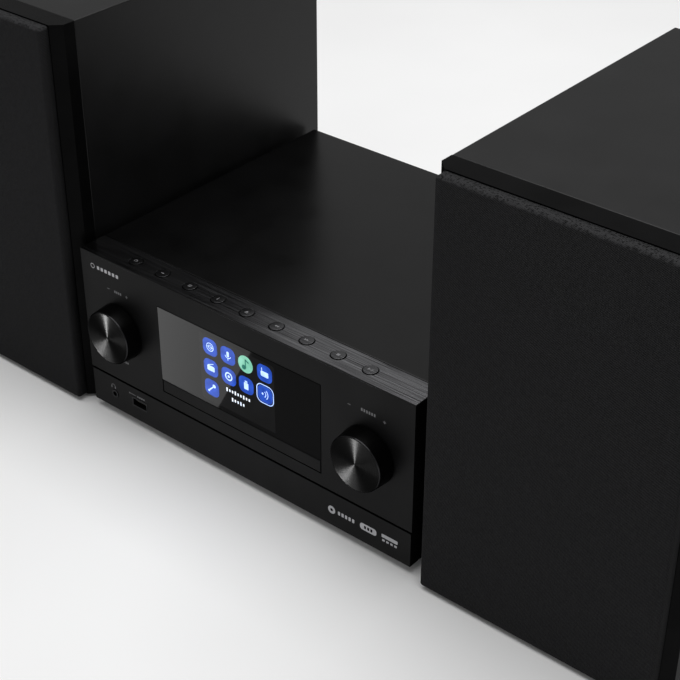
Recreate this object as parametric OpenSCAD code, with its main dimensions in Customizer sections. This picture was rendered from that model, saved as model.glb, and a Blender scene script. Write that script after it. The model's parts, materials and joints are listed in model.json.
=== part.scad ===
// Mini hifi system: a centre unit with a disc drawer, two knobs and nine buttons, between two bookshelf speakers.
// Millimetres, +Z up. The front faces -Y. Inside the modules, y is measured back from the front panel's
// face and z up from the floor; from_front() then moves the piece so that the origin is the middle of the base.

/* [Centre unit] */
// Width of the centre unit
unit_w = 280; // [276:1:300]
// Height of the centre unit's front
unit_h = 120.5; // [120:0.5:126]
// Depth from the front panel's face to the rear panel
unit_d = 237; // [236:1:244]
// Height of the feet under the centre unit
unit_foot_h = 6.5; // [5:0.5:9]
// Depth of the brushed strip along the top front edge
strip_d = 22; // [21:0.5:24]
// Height of the lower front panel
lower_panel_h = 25.5; // [24:0.5:26]
// Width of the groove between the fascia and the lower panel
groove_h = 1.6; // [1:0.1:2]

/* [Display and drawer] */
// Width of the dark window and of the drawer under it
window_w = 138; // [136:1:140]
// Height of the dark window
window_h = 56.5; // [54:0.5:57]
// Distance from the top edge down to the window
window_drop = 17.6; // [17:0.2:18.4]
// Height of the drawer's door
door_h = 9.1; // [8.6:0.1:9.4]
// Travel of the disc drawer
drawer_travel = 134; // [120:1:136]
// Diameter of the discs
disc_d = 120; // [118:1:120]

/* [Knobs and buttons] */
// Radius of each knob at its base
knob_r = 20; // [17:0.5:21]
// How far the knobs stand out
knob_reach = 13; // [10:0.5:16]
// Distance from the middle of the front to each knob
knob_x = 106; // [104:0.5:108]
// Distance from the top edge down to the knobs
knob_drop = 51.3; // [48:0.1:56]
// Radius of the round buttons
button_r = 4.9; // [4:0.1:5.2]
// Distance from one button to the next
button_pitch = 24.55; // [22:0.05:26]
// How far a button goes down
button_travel = 1; // [0.6:0.1:1.2]

/* [Speakers] */
// Width of a speaker
speaker_w = 170; // [164:1:190]
// Height of a speaker without its feet
speaker_h = 275.5; // [272:0.5:290]
// Distance from the front panel's face back to the speaker's rear
speaker_back = 246.5; // [242:0.5:260]
// Gap between the centre unit and a speaker
speaker_gap = 4.5; // [3:0.5:40]
// Height of a speaker's feet
speaker_foot_h = 2.5; // [2:0.5:5]
// Size of the chamfer on the baffle's upright edges
baffle_chamfer = 6.5; // [3:0.5:8]
// Radius of the woofer's frame
woofer_r = 66; // [60:1:68]

/* [Hidden] */
$fn = 64;
eps = 1;
left = -1;
right = 1;

// colours
matte_black = "#1c1c1e";
satin_black = "#141416";
dark_brushed = "#3a3a3d";
gloss_black = "#08080a";
steel = "#9a9c9e";
alloy = "#b8babd";
board_green = "#1d5a34";
rubber_black = "#202020";
cloth_black = "#18181a";
cone_grey = "#2c2c2f";

// front face of the centre unit, from the floor up
front_y = -(speaker_back - knob_reach) / 2;
unit_z = unit_foot_h;
top_z = unit_foot_h + unit_h;
lower_top_z = unit_z + lower_panel_h;
fascia_z = lower_top_z + groove_h;
half_w = unit_w / 2;
sheet_t = 1;
panel_t = 3;
strip_t = 1.2;
shelf_t = 3;
strip_gap = 0.6;
shelf_z = top_z - strip_t - shelf_t;
floor_z = unit_z + 0.5;
cover_y = strip_d + strip_gap;
rear_t = 1.2;
rear_y = unit_d - rear_t;
inner_w = unit_w / 2 - sheet_t - 0.4;
return_t = 2;

// window, drawer and disc mechanism
window_top = top_z - window_drop;
window_z = window_top - window_h;
door_gap = 0.5;
door_top = window_z - door_gap;
door_z = door_top - door_h;
door_half_w = window_w / 2 - 0.4;
tray_half_w = 64;
tray_z = door_z + 0.9;
tray_top = tray_z + 7.2;
tray_floor = 2;
seat_z = tray_z + tray_floor;
seat_r = disc_d / 2 + 0.8;
disc_y = 70;
slot_half_w = 19;
slot_y = 48;
play_z = seat_z + 1.2;
disc_t = 1.2;
frame_z = tray_z - 6.2;
frame_floor_t = 2;
frame_front = 24;
frame_back = 196;
frame_wall_top = tray_top + 3.6;
post_x = 67;
post_r = 4;
cradle_z = frame_z + 3;
cradle_half_w = 25;
hinge_y = 165;
hinge_z = frame_z + 2.2;
hinge_r = 2;
spindle_r = 1.5;
running = 0.05;
rail_x = 16;
rail_t = 2;

// loading gear, an involute spur gear of module 1 that drives a rack on the tray's side
gear_teeth = 18;
gear_module = 1;
gear_r = gear_teeth * gear_module / 2;
dedendum = 1.25 * gear_module;
gear_x = tray_half_w + dedendum + gear_r;
gear_y = 34;
gear_z = tray_z + 0.8;
gear_t = 5;
gear_pin_r = 2;
pressure_angle = 20;
backlash = 0.1;
rack_first = -3;
rack_last = ceil(drawer_travel / (PI * gear_module)) + 2;
tray_back = gear_y + drawer_travel + 15;

// knobs, encoders and buttons
knob_z = top_z - knob_drop;
shaft_r = 3;
bushing_r = 4.6;
encoder_y = 6.2;
encoder_t = 7.3;
shaft_end = 14;
press_gap = 1.3;
turn_gap = 0.8;
button_y = strip_d / 2;
button_proud = 0.5;
button_count = 9;
switch_z = top_z - 9.6;
board_t = 1.6;

// sockets on the lower front panel
jack_x = -118.4;
jack_z = top_z - 108;
jack_r = 1.8;
jack_len = 14;
usb_x = -93.9;
usb_z = top_z - 106.2;
usb_w = 14.4;
usb_h = 7.1;

// rear sockets
mains_x = 105;
mains_z = 32;
posts_x = -86;
posts_z = 46;
aerial_x = -50;
aerial_z = 96;
aerial_r = 4.75;
aerial_len = 9;
aerial_nut_r = 6.6;
aerial_nut_t = 2;

// speakers
speaker_x = unit_w / 2 + speaker_gap + speaker_w / 2;
speaker_z = speaker_foot_h;
speaker_top = speaker_foot_h + speaker_h;
baffle_y = 2.4;
cabinet_y = 17.7;
wall_t = 12;
half_s = speaker_w / 2;
woofer_z = speaker_z + 90;
tweeter_z = speaker_top - 61;
tweeter_r = 47;
driver_y = baffle_y + 1;
driver_recess = 5;
cone_r = 50;
grille_gap = 0.6;
grille_front = -6;
cloth_t = 0.8;
grille_half_w = half_s - baffle_chamfer;
grille_inset = 0.6;
peg_r = 3;
peg_x = grille_half_w - 8;
peg_inset = 10;
port_z = 196;
port_r = 19;
port_len = 90;
cup_z = 78;

// moves a piece from the front panel's frame to the part's own frame
module from_front() {
  translate([0, front_y, 0]) children();
}

// a box between its lowest and highest corners
module slab(low, high) {
  translate(low) cube(high - low);
}

// a cylinder along Y
module rod_y(r, y0, y1) {
  translate([0, y0, 0]) rotate([-90, 0, 0]) cylinder(r = r, h = y1 - y0);
}

// a cylinder along X
module rod_x(r, x0, x1) {
  translate([x0, 0, 0]) rotate([0, 90, 0]) cylinder(r = r, h = x1 - x0);
}

// a solid turned about Y from an outline of [radius, distance back] points
module turned_y(outline) {
  rotate([-90, 0, 0]) rotate_extrude() polygon(outline);
}

// does something on both sides, at x and at -x
module both(x) {
  for (side = [left, right]) translate([side * x, 0, 0]) children();
}

// ---------- centre unit: casing ----------

module bottom_chassis() {
  color(steel) from_front() {
    difference() {
      union() {
        slab([-inner_w, cover_y + 1.4, floor_z], [inner_w, rear_y - 0.2, floor_z + sheet_t]);
        slab([-half_w + 3.2, panel_t + 0.4, floor_z], [half_w - 3.2, cover_y + 1.4, floor_z + sheet_t]);
        for (side = [left, right])
          translate([side * (inner_w - sheet_t / 2), 0, 0])
            slab([-sheet_t / 2, cover_y + 1.4, floor_z], [sheet_t / 2, rear_y - 0.2, floor_z + 15]);
        both(60) for (y = [80, 150]) translate([0, y, floor_z]) cylinder(r = 3, h = 5);
        for (y = [50, 180]) translate([-110, y, floor_z]) cylinder(r = 3, h = 7);
      }
      for (i = [0:7]) slab([100, 70 + 12 * i, 0], [128, 74 + 12 * i, floor_z + 2]);
    }
  }
}

module top_cover() {
  color(matte_black) from_front() difference() {
    slab([-half_w, cover_y, unit_z], [half_w, unit_d, top_z]);
    slab([-half_w + sheet_t, cover_y - eps, unit_z - eps], [half_w - sheet_t, unit_d + eps, top_z - sheet_t]);
  }
}

module rear_panel() {
  color(matte_black) from_front() difference() {
    slab([-inner_w, rear_y, floor_z + sheet_t + 0.2], [inner_w, unit_d, top_z - sheet_t - 0.2]);
    slab([mains_x - 13, 0, mains_z - 9], [mains_x + 13, unit_d + eps, mains_z + 9]);
    slab([posts_x - 27, 0, posts_z - 20], [posts_x + 27, unit_d + eps, posts_z + 20]);
    translate([aerial_x, 0, aerial_z]) rod_y(5.2, rear_y - eps, unit_d + eps);
    for (i = [0:8]) slab([10 + 9 * i, 0, 74], [13 + 9 * i, unit_d + eps, 108]);
    screw_places() rod_y(1.6, rear_y - eps, unit_d + eps);
  }
}

// the eight places of the casing's rear screws
module screw_places() {
  both(half_w - 8) for (z = [16, 66, 118]) translate([0, 0, z]) children();
  both(40) translate([0, 0, 118]) children();
}

module case_screws() {
  color(steel) from_front() screw_places() difference() {
    union() {
      rod_y(1.5, rear_y - 4, unit_d);
      rod_y(3, unit_d, unit_d + 1.8);
    }
    slab([-2.2, unit_d + 0.9, -0.4], [2.2, unit_d + 3, 0.4]);
    slab([-0.4, unit_d + 0.9, -2.2], [0.4, unit_d + 3, 2.2]);
  }
}

module fascia() {
  color(satin_black) from_front() difference() {
    union() {
      slab([-half_w, 0, fascia_z], [half_w, panel_t, top_z - strip_t]);
      slab([-half_w, 0, shelf_z], [half_w, strip_d, top_z - strip_t]);
      for (side = [left, right])
        translate([side * (half_w - return_t / 2), 0, 0])
          slab([-return_t / 2, 0, fascia_z], [return_t / 2, strip_d, top_z - strip_t]);
    }
    slab([-window_w / 2 - 0.2, -eps, door_z - door_gap], [window_w / 2 + 0.2, panel_t + eps, window_top + 0.2]);
    both(knob_x) translate([0, 0, knob_z]) rod_y(bushing_r + 0.4, -eps, panel_t + eps);
    button_places() translate([0, 0, shelf_z - eps]) cylinder(r = button_r + 0.5, h = 3 * shelf_t);
  }
}

// the nine places of the buttons along the strip
module button_places() {
  for (i = [0:button_count - 1]) button_place(i) children();
}

module button_place(i) {
  translate([(i - (button_count - 1) / 2) * button_pitch, button_y, 0]) children();
}

module top_strip() {
  color(dark_brushed) from_front() difference() {
    slab([-half_w, 0, top_z - strip_t], [half_w, strip_d, top_z]);
    button_places() translate([0, 0, top_z - 2 * strip_t]) cylinder(r = button_r + 0.3, h = 3 * strip_t);
  }
}

module lower_panel() {
  color(satin_black) from_front() difference() {
    union() {
      slab([-half_w + 0.6, 0, unit_z], [half_w - 0.6, panel_t, lower_top_z]);
      slab([-half_w + 3, panel_t, lower_top_z - 6], [half_w - 3, panel_t + 1.2, lower_top_z]);
      slab([-half_w + 3, panel_t + 0.2, lower_top_z - 6], [half_w - 3, panel_t + 1.2, fascia_z + 4]);
      for (side = [left, right])
        translate([side * (half_w - 0.6 - return_t / 2), 0, 0])
          slab([-return_t / 2, 0, unit_z], [return_t / 2, strip_d, lower_top_z]);
    }
    translate([jack_x, 0, jack_z]) rod_y(3.2, -eps, panel_t + eps);
    slab([usb_x - usb_w / 2 - 0.2, -eps, usb_z - usb_h / 2 - 0.2],
         [usb_x + usb_w / 2 + 0.2, panel_t + eps, usb_z + usb_h / 2 + 0.2]);
  }
}

module display_window() {
  color(gloss_black) from_front()
    slab([-window_w / 2, -0.2, window_z], [window_w / 2, 2.3, window_top]);
}

module unit_feet() {
  color(rubber_black) from_front() both(108) for (y = [44, 206]) translate([0, y, 0]) difference() {
    cylinder(r1 = 9.4, r2 = 10, h = floor_z);
    translate([0, 0, -eps]) cylinder(r = 3, h = eps + 2);
  }
}

// ---------- centre unit: electronics ----------

module display_module() {
  color(gloss_black) from_front() {
    slab([-38, 2.4, window_z + 0.8], [38, 7.5, window_top - 0.8]);
    slab([-30, 7.5, window_z + 10], [30, 9, window_top - 10]);
  }
}

module control_board() {
  color(board_green) from_front() {
    slab([-130, 17.5, window_z + 5.1], [130, 17.5 + board_t, switch_z - 5.4]);
    slab([-116, 5, switch_z - 5.4], [116, 17.5 + board_t, switch_z - 3.8]);
    button_places() slab([-3, -3, switch_z - 3.8], [3, 3, switch_z]);
  }
}

module main_board() {
  color(board_green) from_front() difference() {
    union() {
      slab([-78, 30, floor_z + 5], [132, 200, floor_z + 5 + board_t]);
      slab([92, 44, floor_z + 6], [124, 84, floor_z + 16]);
      slab([-20, 60, floor_z + 6], [0, 80, floor_z + 8.6]);
      slab([20, 110, floor_z + 6], [48, 138, floor_z + 8.6]);
      slab([-60, 30.5, floor_z + 6], [-30, 38, floor_z + 14]);
      for (i = [0:4]) translate([94 + 8 * i, 110, floor_z + 6]) cylinder(r = 3, h = 12);
      for (i = [0:2]) translate([100 + 12 * i, 150, floor_z + 6]) cylinder(r = 5, h = 18);
    }
    both(post_x) for (y = [40, 188]) translate([0, y, 0]) cylinder(r = post_r + 1, h = 40);
  }
}

module power_supply() {
  color(board_green) from_front() {
    slab([-134, 32, floor_z + 7], [-86, 198, floor_z + 7 + board_t]);
    slab([-130, 56, floor_z + 8], [-90, 100, floor_z + 50]);
    slab([-124, 50, floor_z + 14], [-96, 106, floor_z + 44]);
    for (y = [124, 148]) translate([-118, y, floor_z + 8]) cylinder(r = 9, h = 32);
    slab([-104, 116, floor_z + 8], [-98, 156, floor_z + 38]);
    for (y = [172, 186]) translate([-110, y, floor_z + 8]) cylinder(r = 5, h = 14);
  }
}

module heatsink() {
  color(alloy) from_front() {
    slab([-30, 204, floor_z + sheet_t], [60, 209, 84]);
    for (i = [0:11]) slab([-30 + 8 * i, 208, floor_z + 3], [-28 + 8 * i, 230, 84]);
  }
}

module headphone_jack() {
  color(steel) from_front() translate([jack_x, 0, jack_z]) difference() {
    union() {
      rod_y(3, -0.4, 4);
      slab([-4, 4, -4], [4, jack_len + 1, 4]);
    }
    rod_y(jack_r, -eps, jack_len - 0.4);
  }
}

module usb_port() {
  color(steel) from_front() translate([usb_x, 0, usb_z]) {
    difference() {
      slab([-usb_w / 2, -0.2, -usb_h / 2], [usb_w / 2, 15, usb_h / 2]);
      slab([-usb_w / 2 + 0.8, -eps, -usb_h / 2 + 0.8], [usb_w / 2 - 0.8, 13.6, usb_h / 2 - 0.8]);
    }
    slab([-5.6, 1.6, 0.2], [5.6, 14, 2]);
  }
}

module mains_inlet() {
  color(gloss_black) from_front() translate([mains_x, 0, mains_z]) {
    difference() {
      union() {
        slab([-15, unit_d, -11], [15, unit_d + 2, 11]);
        slab([-12.8, unit_d - 16, -8.8], [12.8, unit_d, 8.8]);
      }
      slab([-4, unit_d - 12, -4.5], [4, unit_d + 3, 4.5]);
      both(4) rod_y(4.5, unit_d - 12, unit_d + 3);
    }
    both(4.3) rod_y(1.2, unit_d - 13, unit_d - 1);
  }
}

module speaker_sockets() {
  color(satin_black) from_front() translate([posts_x, 0, posts_z]) {
    slab([-30, unit_d, -23], [30, unit_d + 1.6, 23]);
    slab([-26.6, unit_d - 8, -19.6], [26.6, unit_d, 19.6]);
    both(13) for (z = [-10, 10]) translate([0, 0, z]) {
      rod_y(3.4, unit_d + 1.6, unit_d + 4);
      rod_y(5, unit_d + 3, unit_d + 9);
    }
  }
}

module aerial_socket() {
  color(alloy) from_front() translate([aerial_x, 0, aerial_z]) difference() {
    union() {
      slab([-8, rear_y - 12, -8], [8, rear_y - 0.2, 8]);
      rod_y(aerial_r, rear_y - 1, unit_d + aerial_len);
      rod_y(aerial_nut_r, unit_d, unit_d + aerial_nut_t);
    }
    rod_y(3.2, unit_d + 1, unit_d + aerial_len + eps);
    rod_y(0.6, unit_d - 4, unit_d + aerial_len + eps);
  }
}

// ---------- disc mechanism ----------

module loader_frame() {
  color(steel) from_front() difference() {
    union() {
      difference() {
        slab([-70, frame_front, frame_z], [72, frame_back, frame_z + frame_floor_t]);
        slab([-cradle_half_w - 2, 34, 0], [cradle_half_w + 2, 176, top_z]);
      }
      slab([72, frame_front, frame_z], [80, gear_y + 8, frame_z + frame_floor_t]);
      for (side = [left, right])
        translate([side * (tray_half_w - 2), 0, 0])
          slab([-2, frame_front, frame_z], [2, frame_back, tray_z - 0.2]);
      slab([-70, frame_front, frame_z], [-66, frame_back, frame_wall_top]);
      slab([68, 50, frame_z], [72, frame_back, frame_wall_top]);
      for (y = [frame_front, 150]) slab([-70, y, tray_top + 0.6], [-60, y + 34, frame_wall_top]);
      for (y = [50, 150]) slab([60, y, tray_top + 0.6], [72, y + 8, frame_wall_top]);
      both(post_x) for (y = [40, 188])
        translate([0, y, floor_z + sheet_t]) cylinder(r = post_r, h = frame_z - floor_z - sheet_t + eps);
      translate([gear_x, gear_y, frame_z]) cylinder(r = 4, h = gear_z - frame_z - 0.2);
      translate([gear_x, gear_y, frame_z]) cylinder(r = gear_pin_r, h = gear_z + gear_t + 1 - frame_z);
      both(cradle_half_w + 4.2) slab([-2, hinge_y - 5, frame_z - 1], [2, hinge_y + 5, tray_z - 0.4]);
    }
    translate([0, hinge_y, hinge_z]) rod_x(hinge_r + running, -cradle_half_w - 8, cradle_half_w + 8);
  }
}

module disc_clamp() {
  color(matte_black) from_front() {
    slab([-70, disc_y - 10, frame_wall_top], [72, disc_y + 10, frame_wall_top + 2]);
    translate([0, disc_y, play_z + disc_t + 0.3]) cylinder(r = 12, h = 4.6);
    translate([0, disc_y, play_z + disc_t + 4]) cylinder(r = 4, h = frame_wall_top - play_z - disc_t - 3);
  }
}

// half the width of a rack tooth, dx outward from the pitch line
function rack_half(dx) = PI * gear_module / 4 - backlash / 2 - dx * tan(pressure_angle);

// the four corners of rack tooth number k
function rack_tooth(k) = [
  for (corner = [[-dedendum, -1], [gear_module, -1], [gear_module, 1], [-dedendum, 1]])
    [tray_half_w + dedendum + corner[0], gear_y + k * PI * gear_module + corner[1] * rack_half(corner[0])]
];

module tray_rack() {
  translate([0, 0, gear_z]) linear_extrude(gear_t) polygon(concat(
    [for (k = [rack_first:rack_last]) each rack_tooth(k)],
    [[tray_half_w, tray_back - 2], [tray_half_w - 1, tray_back - 2], [tray_half_w - 1, gear_y - 4 * PI]]));
}

module disc_tray() {
  color(matte_black) from_front() {
    difference() {
      slab([-tray_half_w, panel_t, tray_z], [tray_half_w, tray_back, tray_top]);
      translate([0, disc_y, seat_z]) cylinder(r = seat_r, h = 20, $fn = 96);
      slab([-slot_half_w, slot_y, 0], [slot_half_w, tray_back + eps, top_z]);
      slab([-12, panel_t + 2, seat_z + 2.6], [12, disc_y, top_z]);
      slab([-tray_half_w + 14, disc_y + 74, tray_z - eps], [-slot_half_w - 8, tray_back - 10, top_z]);
      slab([slot_half_w + 8, disc_y + 74, tray_z - eps], [tray_half_w - 14, tray_back - 10, top_z]);
    }
    tray_rack();
  }
}

module drawer_door() {
  color(satin_black) from_front() {
    slab([-door_half_w, 0, door_z], [door_half_w, panel_t, door_top]);
  }
}

// the involute function, in degrees
function involute(a) = tan(a) * 180 / PI - a;

// half the angle of a gear tooth at radius r
function tooth_half(r) =
  let (base_r = gear_r * cos(pressure_angle), a = r > base_r ? acos(base_r / r) : 0)
  90 / gear_teeth - backlash / 2 / gear_r * 180 / PI + involute(pressure_angle) - involute(a);

// the outline of one gear tooth about the angle mid
function gear_tooth(mid) =
  let (radii = [gear_r - dedendum, gear_r * 0.96, gear_r, gear_r + 0.5 * gear_module, gear_r + gear_module])
  concat(
    [for (r = radii) r * [cos(mid - tooth_half(r)), sin(mid - tooth_half(r))]],
    [for (i = [len(radii) - 1:-1:0]) radii[i] * [cos(mid + tooth_half(radii[i])), sin(mid + tooth_half(radii[i]))]]
  );

module loading_gear() {
  color("ivory") from_front() translate([gear_x, gear_y, gear_z]) difference() {
    linear_extrude(gear_t)
      polygon([for (i = [0:gear_teeth - 1]) each gear_tooth((i + 0.5) * 360 / gear_teeth)]);
    translate([0, 0, -eps]) cylinder(r = gear_pin_r + running, h = gear_t + 2 * eps);
  }
}

module cradle() {
  color(matte_black) from_front() difference() {
    union() {
      difference() {
        slab([-cradle_half_w, 40, cradle_z], [cradle_half_w, hinge_y, cradle_z + 1.6]);
        slab([-13, 88, 0], [13, 146, top_z]);
      }
      both(rail_x + rail_t / 2) slab([-rail_t / 2, 86, cradle_z], [rail_t / 2, 146, cradle_z + 4.4]);
      translate([0, hinge_y, hinge_z]) rod_x(3.4, -cradle_half_w, cradle_half_w);
      translate([0, hinge_y, hinge_z]) rod_x(hinge_r, -cradle_half_w - 5.5, cradle_half_w + 5.5);
      translate([0, disc_y, cradle_z - 7]) cylinder(r = 11, h = 7.4);
      translate([0, disc_y, cradle_z]) cylinder(r = 4, h = play_z - cradle_z - 2.6);
    }
    translate([0, disc_y, cradle_z - 6]) cylinder(r = spindle_r + running, h = 30);
  }
}

module turntable() {
  color(alloy) from_front() translate([0, disc_y, 0]) {
    translate([0, 0, play_z - 2]) cylinder(r = 13.5, h = 2);
    translate([0, 0, play_z]) cylinder(r1 = 7.3, r2 = 6.6, h = 1.1);
    translate([0, 0, cradle_z - 5]) cylinder(r = spindle_r, h = play_z - cradle_z + 4);
  }
}

module laser_sled() {
  color(matte_black) from_front() {
    slab([-rail_x + 0.4, 88, cradle_z + 1.9], [rail_x - 0.4, 110, seat_z - 0.2]);
    translate([0, 98, seat_z - 0.4]) cylinder(r = 3.4, h = 0.9);
  }
}

// ---------- knobs and buttons ----------

module knob_encoders() {
  color(steel) from_front() both(knob_x) translate([0, 0, knob_z]) difference() {
    union() {
      rod_y(bushing_r, 0.6, encoder_y);
      slab([-7, encoder_y, -7], [7, encoder_y + encoder_t, 7]);
    }
    rod_y(shaft_r + running, -eps, encoder_y + encoder_t + eps);
  }
}

module tune_plunger() {
  color("ivory") from_front() translate([-knob_x, 0, knob_z]) {
    rod_y(2.6, shaft_end + 0.3, shaft_end + 2.4);
    rod_y(1.6, shaft_end, shaft_end + 1);
  }
}

// a knob about its own axis, standing gap in front of the fascia, its shaft drilled for the plunger's tip
module knob(gap, drilled) {
  difference() {
    union() {
      turned_y([
        [0, -knob_reach], [knob_r - 2.4, -knob_reach], [knob_r - 1, -knob_reach + 1.2],
        [knob_r - 0.8, -gap - 2], [knob_r, -gap - 1.2], [knob_r, -gap], [knob_r - 2.5, -gap],
        [knob_r - 2.5, -knob_reach + 3.5], [6, -knob_reach + 3.5], [6, -gap - 0.4], [0, -gap - 0.4]
      ]);
      rod_y(shaft_r, -knob_reach + 3, shaft_end);
    }
    if (drilled) rod_y(1.8, shaft_end - 0.4, shaft_end + eps);
  }
}

module tune_knob() {
  color(alloy) from_front() translate([-knob_x, 0, knob_z]) knob(press_gap, true);
}

module volume_knob() {
  color(alloy) from_front() translate([knob_x, 0, knob_z]) knob(turn_gap, false);
}

// button number i, counted from the left
module button(i) {
  color(dark_brushed) from_front() button_place(i) {
    translate([0, 0, shelf_z - 0.3]) cylinder(r = button_r, h = top_z + button_proud - shelf_z + 0.3);
    translate([0, 0, shelf_z - 1.5]) cylinder(r = button_r + 1.6, h = 1.2);
    translate([0, 0, switch_z + button_travel + 0.1]) cylinder(r = 2, h = shelf_z - switch_z - button_travel - 1);
  }
}

// ---------- speakers ----------

// moves a piece to the middle of the speaker on one side
module at_speaker(side) {
  translate([side * speaker_x, front_y, 0]) children();
}

module cabinet(side) {
  color(matte_black) at_speaker(side) difference() {
    slab([-half_s, cabinet_y, speaker_z], [half_s, speaker_back, speaker_top]);
    slab([-half_s + wall_t, cabinet_y - eps, speaker_z + wall_t],
         [half_s - wall_t, speaker_back - wall_t, speaker_top - wall_t]);
    translate([0, 0, port_z]) rod_y(port_r + 2.5, speaker_back - 2 * wall_t, speaker_back + eps);
    translate([0, 0, port_z]) rod_y(27.3, speaker_back - 3.5, speaker_back + eps);
    slab([-36, speaker_back - 2 * wall_t, cup_z - 26], [36, speaker_back + eps, cup_z + 26]);
    slab([-42.3, speaker_back - 2.5, cup_z - 32.3], [42.3, speaker_back + eps, cup_z + 32.3]);
  }
}

module baffle(side) {
  color(satin_black) at_speaker(side) difference() {
    translate([0, 0, speaker_z]) linear_extrude(speaker_h) polygon([
      [-half_s, cabinet_y], [-half_s, baffle_y + baffle_chamfer], [-half_s + baffle_chamfer, baffle_y],
      [half_s - baffle_chamfer, baffle_y], [half_s, baffle_y + baffle_chamfer], [half_s, cabinet_y]
    ]);
    translate([0, 0, woofer_z]) {
      rod_y(woofer_r + 0.4, baffle_y - eps, baffle_y + driver_recess);
      rod_y(woofer_r - 8, 0, cabinet_y + eps);
    }
    translate([0, 0, tweeter_z]) {
      rod_y(tweeter_r + 0.4, baffle_y - eps, baffle_y + 4);
      rod_y(tweeter_r - 10, 0, cabinet_y + eps);
    }
    peg_places() rod_y(peg_r + 0.3, baffle_y - eps, baffle_y + 8);
  }
}

// the four places of a grille's pegs
module peg_places() {
  both(peg_x) for (z = [speaker_z + peg_inset, speaker_top - peg_inset]) translate([0, 0, z]) children();
}

module grille_frame(side) {
  low = speaker_z + grille_inset + cloth_t;
  high = speaker_top - grille_inset - cloth_t;
  half = grille_half_w - cloth_t;
  color(matte_black) at_speaker(side) {
    difference() {
      slab([-half, grille_front + cloth_t, low], [half, baffle_y - grille_gap, high]);
      slab([-half + 12, -20, low + 16], [half - 12, 20, woofer_z + woofer_r + 1]);
      slab([-half + 12, -20, woofer_z + woofer_r + 9], [half - 12, 20, high - 14]);
    }
    peg_places() rod_y(peg_r, baffle_y - grille_gap - 1, baffle_y + 7);
  }
}

module grille_cloth(side) {
  low = speaker_z + grille_inset;
  high = speaker_top - grille_inset;
  color(cloth_black) at_speaker(side) difference() {
    slab([-grille_half_w, grille_front, low], [grille_half_w, baffle_y - grille_gap, high]);
    slab([-grille_half_w + cloth_t, grille_front + cloth_t, low + cloth_t],
         [grille_half_w - cloth_t, baffle_y, high - cloth_t]);
  }
}

// the woofer's basket, magnet and rolled surround
module woofer_frame(side) {
  roll_r = 4;
  roll_x = cone_r + 1.2 + roll_r;
  back = driver_y + 4;
  color(cone_grey) at_speaker(side) translate([0, 0, woofer_z]) {
    turned_y([
      [woofer_r, driver_y], [woofer_r, back], [57, back], [36, 44], [36, 62], [0, 62], [0, 46], [12.2, 46],
      [12.2, 56], [14.2, 56], [14.2, 46], [33, 42], [54, back], [roll_x + roll_r, driver_y]
    ]);
    turned_y(concat(
      [for (a = [0:15:180]) [roll_x + roll_r * cos(a), driver_y + 0.6 - roll_r * sin(a)]],
      [for (a = [180:-15:0]) [roll_x + (roll_r - 0.9) * cos(a), driver_y + 0.6 - (roll_r - 0.9) * sin(a)]]
    ));
  }
}

module woofer_cone(side) {
  neck_r = 13.6;
  color(cone_grey) at_speaker(side) translate([0, 0, woofer_z]) {
    turned_y([
      [cone_r, driver_y], [cone_r, driver_y + 1.2], [neck_r, 27.5], [neck_r, 50], [neck_r - 0.8, 50],
      [neck_r - 0.8, 25.5]
    ]);
    turned_y([
      [0, 17], [6, 17.6], [12, 19.6], [17, 23.2], [18, 24.4], [16, 24.4], [11.4, 20.9], [6, 18.9], [0, 18.3]
    ]);
  }
}

module tweeter(side) {
  color(cone_grey) at_speaker(side) translate([0, 0, tweeter_z]) turned_y([
    [0, baffle_y - 1], [5, baffle_y - 0.4], [9, baffle_y + 1.2], [12.5, baffle_y + 3.4], [16, baffle_y + 3.4],
    [30, driver_y], [tweeter_r, driver_y], [tweeter_r, baffle_y + 4], [34, baffle_y + 4], [34, 30], [0, 30]
  ]);
}

module port_tube(side) {
  front = speaker_back - port_len;
  color(matte_black) at_speaker(side) translate([0, 0, port_z]) turned_y([
    [port_r, front], [port_r + 2, front], [port_r + 2, speaker_back - 3.5], [27, speaker_back - 3.5],
    [27, speaker_back], [port_r + 4, speaker_back], [port_r + 1.2, speaker_back - 1.6], [port_r, speaker_back - 5]
  ]);
}

module terminal_plate(side) {
  color(matte_black) at_speaker(side) translate([0, 0, cup_z]) {
    difference() {
      union() {
        slab([-42, speaker_back - 2.5, -32], [42, speaker_back, 32]);
        slab([-35.6, speaker_back - 24, -25.6], [35.6, speaker_back, 25.6]);
      }
      slab([-32, speaker_back - 21, -22], [32, speaker_back + eps, 22]);
    }
    both(14) {
      rod_y(3.4, speaker_back - 22, speaker_back - 12);
      rod_y(5.5, speaker_back - 14, speaker_back - 3);
    }
  }
}

module speaker_feet(side) {
  color(rubber_black) at_speaker(side) both(half_s - 17) for (y = [30, speaker_back - 16])
    translate([0, y, 0]) cylinder(r1 = 7.6, r2 = 8, h = speaker_foot_h);
}

bottom_chassis();
top_cover();
rear_panel();
fascia();
top_strip();
lower_panel();
display_window();
display_module();
main_board();
control_board();
power_supply();
heatsink();
headphone_jack();
usb_port();
mains_inlet();
speaker_sockets();
aerial_socket();
unit_feet();
case_screws();
loader_frame();
disc_clamp();
knob_encoders();
disc_tray();
drawer_door();
loading_gear();
cradle();
turntable();
laser_sled();
tune_plunger();
tune_knob();
volume_knob();
button(0);  // power_button
button(1);  // source_button
button(2);  // menu_button
button(3);  // info_button
button(4);  // eject_button
button(5);  // previous_button
button(6);  // next_button
button(7);  // stop_button
button(8);  // play_button
cabinet(left);  // left_cabinet
baffle(left);  // left_baffle
grille_frame(left);  // left_grille_frame
grille_cloth(left);  // left_grille_cloth
woofer_frame(left);  // left_woofer_frame
woofer_cone(left);  // left_woofer_cone
tweeter(left);  // left_tweeter
port_tube(left);  // left_port_tube
terminal_plate(left);  // left_terminal_plate
speaker_feet(left);  // left_feet
cabinet(right);  // right_cabinet
baffle(right);  // right_baffle
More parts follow.
